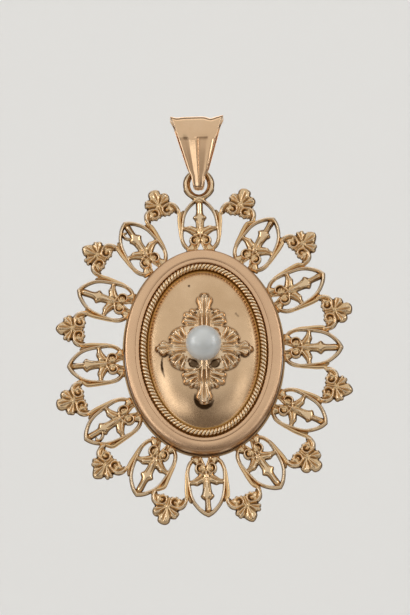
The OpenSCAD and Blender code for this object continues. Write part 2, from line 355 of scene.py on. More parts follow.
def makeAgedGoldAndShade():
    tree, new, source = makeTree("ShaderNodeTree", "agedGold", [
        ("Bright", "Color", (0.8, 0.6, 0.4, 1)), ("Shade", "Color", (0.6, 0.4, 0.25, 1)),
        ("Recess", "Color", (0.2, 0.09, 0.03, 1)), ("Polish", "Color", (1.0, 0.82, 0.6, 1)),
        ("Rough", "Float", 0.2), ("Cloud Scale", "Float", 300.0),
        ("Scratch Depth", "Float", goldWearAndShade["scratchDepth"]),
    ], [("Color", "Color"), ("Roughness", "Float"), ("Height", "Float")])
    place = new("ShaderNodeTexCoord").outputs["Object"]
    cloud = new("ShaderNodeTexNoise",
                {"Vector": place, "Scale": source["Cloud Scale"], "Detail": 4, "Roughness": 0.6})
    spread = new("ShaderNodeMapRange", {"Value": cloud, "From Min": 0.35, "From Max": 0.65})
    tone = colourMix(new, spread, source["Shade"], source["Bright"])
    # painted shade: hollows and shaded places are darkened towards the painted shade tone; crests are
    # lightened towards the polish tone, partly as wear rubbed bright and partly as a painted highlight
    hollow = new("ShaderNodeAttribute", attribute_name="hollow").outputs["Fac"]
    crest = new("ShaderNodeAttribute", attribute_name="crest").outputs["Fac"]
    shadeShare = new("ShaderNodeMath", {0: hollow, 1: goldWearAndShade["hollowPower"]}, operation="POWER", use_clamp=True)
    polishAndHighlight = colourMix(new, crest, tone, source["Polish"])
    # fine wear scratches: noise drawn out along one way, and a grain of small pits
    drawn = new("ShaderNodeMapping",
                {"Vector": place, "Rotation": (0.3, 0.7, 0.5), "Scale": (400, 400, 5200)})
    scratch = new("ShaderNodeTexNoise", {"Vector": drawn, "Scale": 1, "Detail": 3})
    grain = new("ShaderNodeTexNoise", {"Vector": place, "Scale": 2600, "Detail": 3})
    both = new("ShaderNodeMath", {0: scratch, 1: grain}, operation="ADD")
    worn = new("ShaderNodeMath", {0: grain, 1: goldWearAndShade["grainRough"], 2: source["Rough"]},
               operation="MULTIPLY_ADD")
    new("NodeGroupOutput", {
        "Color": colourMix(new, shadeShare, polishAndHighlight, source["Recess"]),
        "Roughness": new("ShaderNodeMath", {0: shadeShare, 1: goldWearAndShade["hollowRough"], 2: worn},
                         operation="MULTIPLY_ADD"),
        "Height": new("ShaderNodeMath", {0: both, 1: source["Scratch Depth"]}, operation="MULTIPLY")})
    return tree


def newMaterial(name):
    material = bpy.data.materials.new(name)
    material.use_nodes = True
    return material, nodeMaker(material.node_tree), material.node_tree.nodes["Principled BSDF"]


def goldMaterial(name, bright, shade, recessShade, rough, cloudScale, bump=0.12):
    material, new, shader = newMaterial(name)
    finish = new("ShaderNodeGroup", {
        "Bright": (*bright, 1), "Shade": (*shade, 1), "Recess": (*recessShade, 1), "Rough": rough,
        "Cloud Scale": cloudScale}, node_tree=agedGold)
    raised = new("ShaderNodeBump",
                 {"Strength": bump, "Distance": 0.00005, "Height": finish.outputs["Height"]})
    fill(shader, {"Metallic": 1.0, "Base Color": finish.outputs["Color"],
                  "Roughness": finish.outputs["Roughness"], "Normal": raised})
    return material


agedGold = makeAgedGoldAndShade()
goldTones = {
    # name, bright tone, tone of the clouds, tone of the painted shade in hollows, roughness, scale of the
    # clouds, bump
    "border": ["castBorderGold", (0.92, 0.66, 0.38), (0.82, 0.56, 0.29), (0.09, 0.04, 0.012), 0.1, 420, 0.07],
    "bezel": ["roseBezelGold", (0.94, 0.63, 0.39), (0.88, 0.58, 0.36), (0.20, 0.08, 0.02), 0.2, 160],
    "dome": ["domeGold", (0.94, 0.67, 0.42), (0.79, 0.54, 0.32), (0.06, 0.03, 0.012), 0.17, 150],
    # a darker amber copy of the gold: painted shade for the recess round the rope
    "recessShade": ["amberRecessGold", (0.86, 0.50, 0.16), (0.72, 0.38, 0.10), (0.17, 0.06, 0.006), 0.22, 500],
    "rope": ["ropeGold", (0.93, 0.60, 0.25), (0.84, 0.49, 0.16), (0.07, 0.02, 0.002), 0.2, 700],
    "ornament": ["ornamentGold", (0.98, 0.77, 0.53), (0.90, 0.66, 0.43), (0.12, 0.06, 0.02), 0.1, 500, 0.05],
    "bail": ["bailGold", (0.95, 0.67, 0.43), (0.90, 0.61, 0.37), (0.28, 0.13, 0.05), 0.07, 200],
    "case": ["caseGold", (0.84, 0.58, 0.35), (0.72, 0.47, 0.27), (0.20, 0.10, 0.04), 0.26, 260],
    "cup": ["cupGold", (0.88, 0.60, 0.33), (0.78, 0.50, 0.25), (0.18, 0.08, 0.02), 0.22, 600],
}
golds = {piece: goldMaterial(*tones) for piece, tones in goldTones.items()}


def pearlMaterial():
    material, new, shader = newMaterial("pearlNacre")
    place = new("ShaderNodeTexCoord").outputs["Object"]
    cloud = new("ShaderNodeTexNoise", {"Vector": place, "Scale": 420, "Detail": 3})
    fill(shader, {
        "Base Color": colourMix(new, cloud, (0.66, 0.71, 0.725, 1), (0.87, 0.895, 0.875, 1)),
        "Normal": new("ShaderNodeBump", {"Strength": 0.05, "Distance": 0.0001, "Height": cloud}),
        "Roughness": 0.42, "Sheen Weight": 0.1, "Coat Weight": 1.0, "Coat Roughness": 0.36, "Coat IOR": 2.4,
        "Subsurface Weight": 0.2, "Subsurface Radius": (0.9, 0.8, 0.7), "Subsurface Scale": 0.0005})
    return material


def markShare(far, end):
    # a mark is full in its middle and has faded out at this share of its radius
    return 2 * (end - far)


def dress(obj, material, body, node):
    obj.data.materials.clear()
    obj.data.materials.append(material)
    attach(obj, body)
    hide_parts(node)


print("materials ready")

# ---- arches of the border ----

arches = {
    # clock angle of the feet, clock angle of the point, distance of the point from the middle, kind
    "rows": [[0, 0, 20.9, 0], [26.5, 28.5, 20.3, 1], [53, 57.5, 19, 1], [87.5, 89, 18.1, 0],
             [126, 122, 18.5, 1], [156.5, 152.5, 20.5, 0], [181, 180, 21.6, 1], [205, 206.6, 20.8, 0],
             [231.5, 235.2, 19.2, 2], [265, 266.2, 17.8, 1], [305.3, 299, 18.5, 0], [332.7, 331, 20.4, 2]],
    "height": 7.3,
    "footOut": 0.15,            # feet stand this far outside the case
    "box": (-2.95, -0.3, 2.95, 7.6),
}


def polar(clock, r):
    a = math.radians(clock)
    return np.array([r * math.sin(a), r * math.cos(a)])


def ovalReach(clock, a, b):
    c = math.radians(clock)
    return 1 / math.sqrt((math.sin(c) / a) ** 2 + (math.cos(c) / b) ** 2)


def archFoot(row):
    out = arches["footOut"]
    return polar(row[0], ovalReach(row[0], plan["caseA"] + out, plan["caseB"] + out))


def archForms(kind):
    # kind 1 has a slimmer spear with raised barbs, kind 2 has one barb curled up like an ear
    barb = (4.6, 4.85, 4.75)[kind]
    slim = (1.0, 0.86, 0.94)[kind]
    spear = [[0, 6.95], [0.42, 6.6], [0.46 * slim, 6.0], [0.46 * slim, 5.4], [0.56, barb + 0.42],
             [0.84, barb + 0.16], [0.9, barb - 0.06], [0.7, barb - 0.34], [0.58, 4.0], [0.54, 3.4],
             [0.6, 2.9], [0.5, 2.3], [0, 1.8]]
    leaf = [[0.25, 3.1], [0.75, 3.4], [1.25, 3.58], [1.7, 3.46], [2.35, 3.42], [2.35, 2.9], [1.9, 2.82],
            [1.5, 2.6], [1.1, 2.3], [0.8, 2.1], [0.3, 2.0]]
    foot = [[0.25, 1.25], [0.46, 0.72], [0.54, 0.35], [0.5, 0], [1.8, 0], [1.74, 0.55], [1.4, 1.0],
            [1.2, 1.25]]
    half = [
        stroke([[0.95, 0.14, 0.26, 0.28], [1.55, 0.38, 0.26, 0.36], [2.06, 0.86, 0.26, 0.44],
                [2.34, 1.5, 0.25, 0.5], [2.4, 2.2, 0.24, 0.52], [2.34, 3.0, 0.23, 0.52],
                [2.25, 3.9, 0.22, 0.52], [2.08, 4.8, 0.22, 0.52], [1.75, 5.6, 0.24, 0.52],
                [1.2, 6.3, 0.25, 0.52], [0.6, 6.82, 0.27, 0.52], [0, 7.14, 0.27, 0.5]], 1.9),
        plate(leaf, 0.44, 0.34, 0.6),
        carve([[0.45, 2.5, 0.12, 0.16], [1.2, 2.92, 0.12, 0.2], [2.0, 3.08, 0.09, 0.14]]),
        stroke([[1.25, 3.3, 0.22, 0.5], [1.3, 3.31, 0.22, 0.5]], 2),
        plate(foot, 0.34, 0.3),
        # volute: a disc with a rolled rim and a ball in its middle
        dot(0.7, 1.52, 0.76, 0.34, 7),
        stroke([[0.2, 2.3, 0.2, 0.44], [0.68, 2.12, 0.17, 0.5], [1.14, 1.9, 0.18, 0.54],
                [1.28, 1.5, 0.2, 0.6], [1.1, 1.06, 0.2, 0.6], [0.66, 0.94, 0.18, 0.56],
                [0.3, 1.22, 0.14, 0.46], [0.3, 1.56, 0.11, 0.4]], 1.7, 8),
        carve([[0.5, 1.86, 0.08, 0.16], [0.86, 1.9, 0.09, 0.24], [1.06, 1.6, 0.09, 0.26],
               [0.98, 1.26, 0.09, 0.26], [0.7, 1.14, 0.08, 0.22]]),
        stroke([[0.72, 1.52, 0.25, 0.62], [0.73, 1.53, 0.25, 0.62]], 1.8),
        stroke([[1.12, 0.82, 0.18, 0.4], [1.15, 0.2, 0.24, 0.36]], 1.8),
        carve([[0.82, 0.62, 0.09, 0.2], [0.86, 0.1, 0.09, 0.2]]),
        # solder web between the wire and the stem outside it
        plate([[2.08, 4.5], [2.04, 5.6], [2.45, 5.4], [2.78, 4.4]], 0.06, 0.2),
        carve([[0.18, 2.7, 0.09, 0.1], [0.26, 3.4, 0.1, 0.14], [0.3, 4.3, 0.08, 0.1]]),
    ]
    extras = [[], [
        stroke([[0.2, 5.0, 0.14, 0.5], [0.5, 4.95, 0.16, 0.62], [0.34, 4.4, 0.14, 0.62],
                [0.22, 3.8, 0.12, 0.6]], 1.8),
        stroke([[0.12, 6.6, 0.12, 0.6], [0.1, 5.2, 0.12, 0.6]], 1.8),
        carve([[-0.06, 6.5, 0.07, 0.16], [-0.06, 5.2, 0.08, 0.18]]),
    ], [
        stroke([[-0.3, 5.0, 0.2, 0.4], [-0.75, 5.25, 0.22, 0.5], [-1.05, 5.7, 0.22, 0.5],
                [-0.9, 6.1, 0.2, 0.46], [-0.6, 6.05, 0.14, 0.38]], 1.8),
    ]]
    spine = [plate(bothHalves(spear), 0.5, 0.42, 0.6, 3)]
    return spine + half + [flipped(form) for form in half] + extras[kind] + [
        stroke([[0, 3.2, 0.13, 0.62], [0, 2.5, 0.2, 0.66], [0, 1.8, 0.15, 0.58]], 1.6),
        plate([[-0.6, 1.3], [0.6, 1.3], [0.64, 0.1], [-0.64, 0.1]], 0.3, 0.2, steps=1),
        stroke([[0, 1.12, 0.05, 0], [0, 0.7, 0.2, 0], [0, 0.3, 0.36, 0], [0, -0.2, 0.42, 0]], kind="cut"),
    ]


archKinds = [reliefSolid("archKind%d" % k, archForms(k), arches["box"])[0] for k in range(3)]

# ---- palmettes ----

palmettes = {
    # clock angle of the tip, distance of the tip from the middle, clock direction in which it points, kind
    "rows": [[15.6, 22.7, 18.4, 1], [43.9, 21.7, 50.8, 0], [73.9, 20.2, 79.7, 1], [106.2, 20, 104.8, 0],
             [137.1, 21.5, 132, 1], [165.7, 23.2, 161.6, 0], [194.9, 23.2, 195.8, 1],
             [222.7, 21.8, 227.1, 0], [251.7, 20.3, 255.4, 1], [281.8, 19.6, 274.3, 0],
             [313.7, 21.3, 302.4, 0], [344.5, 22.8, 340, 1]],
    "box": (-2.6, -4.3, 2.6, 0.25),
    # middle line of a stem: from the shoulder of the palmette down the outside of the arch beside it
    "shoulder": [[1.45, -2.55, 0.5, 0.8], [1.92, -2.9, 0.5, 1.1], [2.12, -3.4, 0.46, 1.1],
                 [2.14, -4.0, 0.44, 1]],
    "seat": [[2.66, 4.95, 0.42, 0.95], [2.67, 4.1, 0.42, 1], [2.58, 3.1, 0.42, 1], [2.47, 2.1, 0.42, 1],
             [2.2, 1.15, 0.4, 0.95], [1.72, 0.52, 0.36, 0.85]],
    "stemRadius": 0.27,
    "stemSides": 14, "stemSteps": 7,
}


def palmetteSide(up):
    # the right half; its side leaf stands higher by up
    return [
        # side leaf with two ridges
        stroke([[1.26, -1.25 + up, 0.3, 0.56], [0.9, -1.5, 0.28, 0.6], [0.35, -2.0, 0.16, 0.54]], 2),
        stroke([[1.46, -1.7 + up, 0.28, 0.54], [1.05, -1.84, 0.24, 0.58], [0.45, -2.1, 0.14, 0.52]], 2),
        # the stem runs over the shoulder and winds up into a volute with a ball
        stroke([[2.08, -3.9, 0.26, 0.48], [2.12, -3.3, 0.28, 0.6], [1.9, -2.75, 0.3, 0.64],
                [1.45, -2.44, 0.27, 0.62], [0.9, -2.4, 0.2, 0.56]], 2),
        stroke([[1.2, -2.44, 0.15, 0.54], [0.75, -2.46, 0.2, 0.62], [0.38, -2.7, 0.2, 0.64],
                [0.28, -3.12, 0.2, 0.64], [0.48, -3.5, 0.2, 0.62], [0.95, -3.6, 0.18, 0.58],
                [1.34, -3.34, 0.17, 0.56], [1.36, -2.98, 0.14, 0.52]], 1.7, 8),
        # shallow furrows: between the leaves, over the volute, inside its ring and beside the stem
        carve([[0.98, -0.9, 0.12, 0.12], [0.66, -1.2, 0.13, 0.18], [0.28, -1.9, 0.1, 0.16]]),
        carve([[1.5, -1.48, 0.08, 0.05], [1.0, -1.68, 0.1, 0.08], [0.5, -2.0, 0.07, 0.06]]),
        carve([[1.76, -2.06, 0.12, 0.16], [1.1, -2.14, 0.13, 0.2], [0.4, -2.26, 0.11, 0.16]]),
        carve([[1.1, -2.72, 0.1, 0.16], [0.72, -2.74, 0.11, 0.24], [0.54, -3.08, 0.11, 0.24],
               [0.74, -3.36, 0.11, 0.22], [1.06, -3.28, 0.1, 0.18]]),
        carve([[1.84, -3.85, 0.12, 0.22], [1.78, -3.2, 0.12, 0.24], [1.52, -2.8, 0.1, 0.18]]),
        carve([[0.12, -2.5, 0.07, 0.12], [0.12, -3.3, 0.08, 0.12]]),
        dot(0.86, -3.04, 0.27, 0.72),
        # beads along the foot
        *[dot(x, y, 0.18, 0.46, 2) for x, y in ((0.34, -3.62), (0.88, -3.74), (1.38, -3.58))],
    ]


def palmetteForms(kind):
    # right and left edge from the tip down; the lobes differ a little, as on the piece
    foot = [[2.34, -3.7], [1.8, -3.95], [1.56, -3.62], [1.3, -3.7], [1.05, -3.86], [0.8, -3.82],
            [0.56, -3.64], [0.3, -3.72], [0, -3.58]]
    right = ([[0, 0.02], [0.36, -0.14], [0.68, -0.48], [0.9, -0.8], [1.2, -1.0], [1.56, -1.24], [1.84, -1.6],
              [1.76, -1.95], [1.62, -2.12], [1.92, -2.42], [2.18, -2.84], [2.36, -3.3]],
             [[0, 0.1], [0.44, 0.02], [0.78, -0.2], [0.86, -0.5], [0.88, -0.74], [1.3, -0.76], [1.64, -1.04],
              [1.78, -1.44], [1.68, -1.86], [1.6, -2.06], [1.88, -2.34], [2.1, -2.8], [2.3, -3.3]])[kind]
    left = ([[0.3, -0.06], [0.6, -0.32], [0.84, -0.66], [0.9, -1.02], [1.2, -1.08], [1.5, -1.34],
             [1.6, -1.74], [1.5, -2.06], [1.72, -2.38], [2.04, -2.84], [2.3, -3.36]],
            [[0.4, 0.02], [0.68, -0.22], [0.8, -0.56], [0.8, -0.86], [1.2, -0.92], [1.56, -1.22],
             [1.7, -1.62], [1.56, -2.0], [1.8, -2.34], [2.1, -2.8], [2.3, -3.3]])[kind]
    lift = (0.05, 0.0)[kind]
    return [
        plate(right + foot + [[-x, y] for x, y in reversed(left + foot[:-1])], 0.42, 0.26, 0.7, 3),
        stroke([[-0.1, -0.45, 0.3, 0.52], [-0.08, -1.1, 0.28, 0.58], [0, -2.0, 0.14, 0.52]], 2),
        stroke([[0.36, -0.6, 0.26, 0.5], [0.3, -1.1, 0.24, 0.56], [0.1, -1.9, 0.14, 0.52]], 2),
        carve([[0.14, -0.3, 0.12, 0.08], [0.12, -1.1, 0.12, 0.1], [0.04, -2.0, 0.08, 0.08]]),
        stroke([[0, -2.2, 0.2, 0.56], [0, -2.9, 0.16, 0.58], [0, -3.5, 0.15, 0.46]], 1.8),
        *palmetteSide(lift),
        *[flipped(form) for form in palmetteSide(-lift)],
    ]


palmetteKinds = [reliefSolid("palmetteKind%d" % k, palmetteForms(k), palmettes["box"])[0] for k in range(2)]

# ---- Geometry Nodes ----

def finishTree(tree, new, source, geometry):
    # every tree ends in Realize Instances and Set Material
    real = new("GeometryNodeRealizeInstances", {0: geometry})
    painted = new("GeometryNodeSetMaterial", {"Geometry": real, "Material": source["Material"]})
    new("NodeGroupOutput", {0: painted})
    return tree


def geometryTree(name, inputs):
    shape = ("Geometry", "Geometry")
    return makeTree("GeometryNodeTree", name, [shape, *inputs, ("Material", "Material")], [shape])


def runTree(obj, tree, values):
    modifier = obj.modifiers.new(tree.name, "NODES")
    modifier.node_group = tree
    for item in tree.interface.items_tree:
        if item.item_type == "SOCKET" and item.in_out == "INPUT" and item.name in values:
            modifier[item.identifier] = values[item.name]
    return asPlainMesh(obj)


kindLabels = ("First Kind", "Second Kind", "Third Kind")


def makeScatterTree():
    # puts one of three kinds on each point, turned and stretched by the point's own values
    tree, new, source = geometryTree("unitsOnPoints", [(label, "Object") for label in kindLabels])

    def named(label, kind="FLOAT"):
        return new("GeometryNodeInputNamedAttribute", {"Name": label}, data_type=kind).outputs["Attribute"]
    gather = new("GeometryNodeGeometryToInstance")
    for label in reversed(kindLabels):
        unit = new("GeometryNodeObjectInfo", {"Object": source[label]}, transform_space="ORIGINAL")
        fill(gather, {0: unit.outputs["Geometry"]})
    put = new("GeometryNodeInstanceOnPoints", {
        "Points": source["Geometry"], "Instance": gather, "Pick Instance": True,
        "Instance Index": named("kind", "INT"),
        "Rotation": new("ShaderNodeCombineXYZ", {"Y": named("turn")}),
        "Scale": new("ShaderNodeCombineXYZ", {"X": 1, "Y": 1, "Z": named("tall")})})
    return finishTree(tree, new, source, put)


def placeUnits(name, places, turns, talls, kinds, units):
    flat = np.column_stack([places, np.zeros(len(places))])
    points = newObject(name, toFrame(flat, plan["borderBack"]), [])
    addPointValue(points, "turn", np.radians(turns))
    addPointValue(points, "tall", talls)
    addPointValue(points, "kind", kinds, "INT")
    return runTree(points, scatterTree, dict(zip(kindLabels, units), Material=golds["border"]))


for unit in archKinds + palmetteKinds:
    # a unit keeps its own origin: only its axes and its scale change here
    co = pointsOf(unit)
    setPoints(unit, np.column_stack([co[:, 0], -co[:, 2], co[:, 1]]) * mm)

scatterTree = makeScatterTree()
feet = np.array([archFoot(row) for row in arches["rows"]])
reach = np.array([polar(row[1], row[2]) for row in arches["rows"]]) - feet
archAims = np.degrees(np.arctan2(reach[:, 0], reach[:, 1]))
archStretch = np.hypot(reach[:, 0], reach[:, 1]) / arches["height"]
palmTips = np.array([polar(row[0], row[1]) for row in palmettes["rows"]])
palmAims = [row[2] for row in palmettes["rows"]]
unitCount = len(palmettes["rows"])
borderArches = placeUnits("border_arches", feet, archAims, archStretch, [row[3] for row in arches["rows"]],
                          archKinds)
borderPalmettes = placeUnits("border_palmettes", palmTips, palmAims, np.ones(unitCount),
                             [row[3] for row in palmettes["rows"]], palmetteKinds + palmetteKinds[:1])
for unit in archKinds + palmetteKinds:
    bpy.data.objects.remove(unit)
print("border units placed", len(borderArches.data.polygons), len(borderPalmettes.data.polygons))


def turnedBy(clock, p):
    a = math.radians(clock)
    return np.array([p[0] * math.cos(a) + p[1] * math.sin(a), -p[0] * math.sin(a) + p[1] * math.cos(a)])


def onArch(i, p):
    return feet[i] + turnedBy(archAims[i], [p[0], p[1] * archStretch[i]])


def curveObject(name, lines, yBase, cyclic=False):
    # lines: rows of [x, y, h, radius] in millimetres
    data = bpy.data.curves.new(name, "CURVE")
    data.dimensions = "3D"
    for line in lines:
        spline = data.splines.new("POLY")
        spline.points.add(len(line) - 1)
        for point, spot, radius in zip(spline.points, toFrame(line[:, :3], yBase), line[:, 3]):
            point.co = (*spot, 1)
            point.radius = radius
        spline.use_cyclic_u = cyclic
    return addObject(name, data)


def wireAlong(new, curve, radius, sides):
    circle = new("GeometryNodeCurvePrimitiveCircle", {"Resolution": sides, "Radius": radius})
    return new("GeometryNodeCurveToMesh", {"Curve": curve, "Profile Curve": circle})


def makeWireTree():
    # sweeps a round wire along every curve, with the radius that the curve's points hold
    tree, new, source = geometryTree("wireOnCurves", [("Wire Radius", "Float", 0.0002), ("Sides", "Int", 12)])
    wire = wireAlong(new, source["Geometry"], source["Wire Radius"], source["Sides"])
    fill(wire, {"Fill Caps": True})
    if "Scale" in wire.inputs:
        fill(wire, {"Scale": new("GeometryNodeInputRadius")})
    return finishTree(tree, new, source, new("GeometryNodeSetShadeSmooth", {"Geometry": wire}))


stemLines = []
for i in range(unitCount):
    for side in (-1, 1):
        arch = i if side < 0 else (i + 1) % unitCount
        rows = [[*(palmTips[i] + turnedBy(palmAims[i], [side * p[0], p[1]])), p[2], p[3]]
                for p in palmettes["shoulder"]]
        rows += [[*onArch(arch, [-side * p[0], p[1]]), p[2], p[3]] for p in palmettes["seat"]]
        stemLines.append(smoothLine(rows, palmettes["stemSteps"]))
stems = runTree(curveObject("border_stems", stemLines, plan["borderBack"]), makeWireTree(), {
    "Wire Radius": palmettes["stemRadius"] * mm, "Sides": palmettes["stemSides"],
    "Material": golds["border"]})
print("stems", len(stems.data.polygons))

# ---- rings and covers swept round an oval ----

def sweptShell(name, rows, segments, yBase, closed=True):
    # rows: [half width, half height, h, painted shade]; a closed shell joins its last row to its first
    turns = np.linspace(0, fullTurn, segments, endpoint=False)
    points = np.vstack([np.column_stack([r[0] * np.sin(turns), r[1] * np.cos(turns), np.full(segments, r[2])])
                        for r in rows])
    n = len(rows)
    faces = []
    for c in range(n if closed else n - 1):
        here, there = c * segments, (c + 1) % n * segments
        for k in range(segments):
            after = (k + 1) % segments
            faces.append((here + k, there + k, there + after, here + after))
    if not closed:
        faces += [tuple(range(segments)), tuple((n - 1) * segments + k for k in reversed(range(segments)))]
    obj = newObject(name, toFrame(points, yBase), faces)
    addPointValue(obj, "hollow", np.repeat([r[3] if len(r) > 3 else 0 for r in rows], segments))
    return obj


def rimRows(rows):
    # rows of [distance inside the case wall, h, painted shade]
    return [[plan["caseA"] - inward, plan["caseB"] - inward, *rest] for inward, *rest in rows]


ring = {
    # half width, half height and middle, with y measured as on an arch
    "outline": (2.06, 2.06, 9.06), "slope": (1.2, 1.38, 9.02), "hole": (1.12, 1.33, 9.02), "sides": 40,
    "neck": [[0, 7.9], [1.95, 8.5], [1.75, 7.8], [1.3, 7.38], [0.84, 6.98], [0.95, 6.7], [0.5, 6.5],
             [0, 6.35]],
    "strut": [[-0.95, 6.55, 0.22, 0.42], [-0.45, 6.95, 0.24, 0.44], [0.3, 7.25, 0.24, 0.44],
              [1.2, 7.62, 0.24, 0.44], [1.78, 8.4, 0.22, 0.42]],
    "box": (-2.25, 6.2, 2.25, 11.3),
}


def ringOutline(a, b, y):
    turns = np.linspace(0, fullTurn, ring["sides"], endpoint=False)
    return [[a * math.sin(t), y + b * math.cos(t)] for t in turns]


slope = ringOutline(*ring["slope"])
ringForms = [
    # hanging ring over the top arch, and the struts that carry it
    plate(ringOutline(*ring["outline"]), 0.44, 0.3, 0.6, 1),
    plate(bothHalves(ring["neck"]), 0.36, 0.3, 0.7, 2),
    stroke(ring["strut"], 2),
    flipped(stroke(ring["strut"], 2)),
    # the inside of the ring falls away to its hole
    carve([[*p, 0.36, 0.3] for p in slope + slope[:1]], 1),
    plate(ringOutline(*ring["hole"]), 0, 1, steps=1, kind="cut"),
]
ringPiece = reliefSolid("hanging_ring", ringForms, ring["box"], keep=0.6, floor=-0.2)[0]
setPoints(ringPiece, toFrame(pointsOf(ringPiece) + [0, feet[0][1], 0], plan["borderBack"]))

band = {
    "segments": 192,
    # the last number of a row is painted shade, which darkens the band between the arch feet
    "rows": [[-0.34, 0.05, 0.6], [-0.34, 0.45, 0.6], [-0.28, 0.52, 0.5], [-0.08, 0.52, 0.9],
             [-0.04, 0.45, 0.9], [-0.04, 0.0, 0.9], [-0.28, 0.0, 0.6]],
}
bandPiece = sweptShell("border_band", rimRows(band["rows"]), band["segments"], plan["borderBack"])
for piece in (borderArches, borderPalmettes, stems, ringPiece, bandPiece):
    dress(piece, golds["border"], "medallion", "openwork_border")

# ---- bezel, dome, rope wire and back ----

bezel = {
    "segments": 256,
    # the last number of a row is painted shade: on the rounded outer edge, down the inner wall beside the
    # rope, and patina with painted shade in the fine groove by the lip
    "rows": [[0.0, 0.04, 0.8], [0.0, 0.16, 0.75], [0.04, 0.27, 0.6], [0.14, 0.36, 0.34], [0.3, 0.44, 0.1],
             [0.5, 0.51, 0], [0.75, 0.565, 0], [1.0, 0.595, 0], [1.3, 0.61, 0.1], [1.35, 0.57, 1],
             [1.4, 0.615, 0.1], [1.46, 0.63, 0], [1.72, 0.635, 0], [1.83, 0.61, 0], [1.89, 0.55, 0],
             [1.92, 0.44, 0.3], [1.93, 0.3, 0.8], [1.93, 0.04, 1]],
}
bezelPiece = sweptShell("bezel_frame", rimRows(bezel["rows"]), bezel["segments"], plan["edge"])
dress(bezelPiece, golds["bezel"], "medallion", "bezel")

dome = {
    "a": 7.14, "b": 10.33, "ledge": 0.45, "rise": 1.45, "power": 3.3, "sheet": 0.4, "hole": 0.49,
    "rings": 80, "firstRing": 5, "segments": 400, "inner": 0.6,
    # recess between the dome and the bezel, then the hidden underside; the last number is painted shade
    "rim": [[2.9, 0.44, 1], [2.5, 0.44, 1], [2.1, 0.44, 1], [2.0, 0.42, 0.85], [1.95, 0.4, 0.9],
            [1.95, 0.0, 1], [0.44, 0.0, 1], [0.44, -0.4, 0.5]],
    "shadedRecessRows": 6,        # of these, the rows that get the painted shade gold
    "frontOver": 0.5,       # what stands this far over the case edge is the front of the dome
    # small dents: x, y, radius, depth
    "dents": [[-1.66, 8.47, 0.13, 0.05], [4.34, 4.5, 0.2, 0.035], [4.55, 4.2, 0.14, 0.03]],
    # painted dark marks: lines of [x, y, half width, darkness]; the first is a painted dark reflection under
    # the left arm, the second the painted shadow under the lower tip, the last two darken the small dents
    "marks": [[[-5.4, -0.9, 0.08, 0.6], [-5.5, -1.8, 0.13, 1.0], [-5.45, -2.6, 0.14, 1.0],
               [-5.2, -3.6, 0.07, 0.5]],
              [[-1.3, -6.1, 0.1, 0.8], [-1.25, -6.8, 0.22, 1.0], [-0.9, -7.4, 0.3, 1.0],
               [-0.15, -7.72, 0.36, 1.0], [0.6, -7.55, 0.26, 1.0], [1.05, -7.0, 0.12, 0.8]],
              [[-1.66, 8.5, 0.13, 1.0], [-1.66, 8.44, 0.13, 1.0]],
              [[4.3, 4.55, 0.12, 0.55], [4.6, 4.2, 0.1, 0.55]]],
    # painted shade along the edge of the ornament: depth, reach, power, and the part of the plan in which it
    # is looked for
    "tarnish": (0.75, 0.2, 1.5), "tarnishWithin": (6.8, 7.8), "markEnd": 1.4,
}


def domeHeight(part):
    return dome["ledge"] + dome["rise"] * (1 - part ** dome["power"])


hole = dome["hole"]
domeRows = [[hole, hole, domeHeight(0) - dome["sheet"]], [hole, hole, domeHeight(0)]]
domeRows += [[dome["a"] * s, dome["b"] * s, domeHeight(s)]
             for s in np.linspace(0, 1, dome["rings"])[dome["firstRing"]:]]
domeTop = len(domeRows)
domeRows += rimRows(dome["rim"])
# the hidden underside gets half painted shade
domeRows += [[dome["a"] - dome["sheet"], dome["b"] - dome["sheet"], 0.05, 0.5],
             [dome["a"] * dome["inner"], dome["b"] * dome["inner"],
              domeHeight(dome["inner"]) - dome["sheet"], 0.5]]
domePiece = sweptShell("dome", list(reversed(domeRows)), dome["segments"], plan["edge"])
dress(domePiece, golds["dome"], "medallion", "domed_cover")
domePiece.data.materials.append(golds["recessShade"])
for face in domePiece.data.polygons:
    row = len(domeRows) - 1 - face.index // dome["segments"]
    face.material_index = 1 if domeTop <= row < domeTop + dome["shadedRecessRows"] else 0


def makeRopeTree():
    # winds a number of strands round each curve, then sweeps a wire along them
    tree, new, source = geometryTree("ropeOnCurve", [
        ("Twists", "Int", 66), ("Points", "Int", 1056), ("Strands", "Int", 2),
        ("Strand Radius", "Float", 0.00016), ("Wind Radius", "Float", 0.00015)])

    def calc(kind, *values):
        return new("ShaderNodeMath", dict(enumerate(values)), operation=kind)

    def vector(kind, inputs):
        return new("ShaderNodeVectorMath", inputs, operation=kind)
    fine = new("GeometryNodeResampleCurve", {"Curve": source["Geometry"], "Count": source["Points"]})
    copies = new("GeometryNodeDuplicateElements",
                 {"Geometry": fine, "Amount": source["Strands"]}, domain="SPLINE")
    # the length factor of a closed curve stops short of 1, so the index along the spline is used
    share = calc("DIVIDE", new("GeometryNodeSplineParameter").outputs["Index"], source["Points"])
    phase = calc("DIVIDE", copies.outputs["Duplicate Index"], source["Strands"])
    angle = calc("MULTIPLY", calc("ADD", calc("MULTIPLY", share, source["Twists"]), phase), fullTurn)

    def swing(kind):
        return calc("MULTIPLY", calc(kind, angle), source["Wind Radius"])
    across = vector("CROSS_PRODUCT", {0: new("GeometryNodeInputTangent"), 1: (0, 1, 0)})
    side = vector("SCALE", {0: across, "Scale": swing("COSINE")})
    up = new("ShaderNodeCombineXYZ", {"Y": swing("SINE")})
    wound = new("GeometryNodeSetPosition", {"Geometry": copies, "Offset": vector("ADD", {0: side, 1: up})})
    wire = wireAlong(new, wound, source["Strand Radius"], rope["strandSides"])
    return finishTree(tree, new, source, new("GeometryNodeSetShadeSmooth", {"Geometry": wire}))


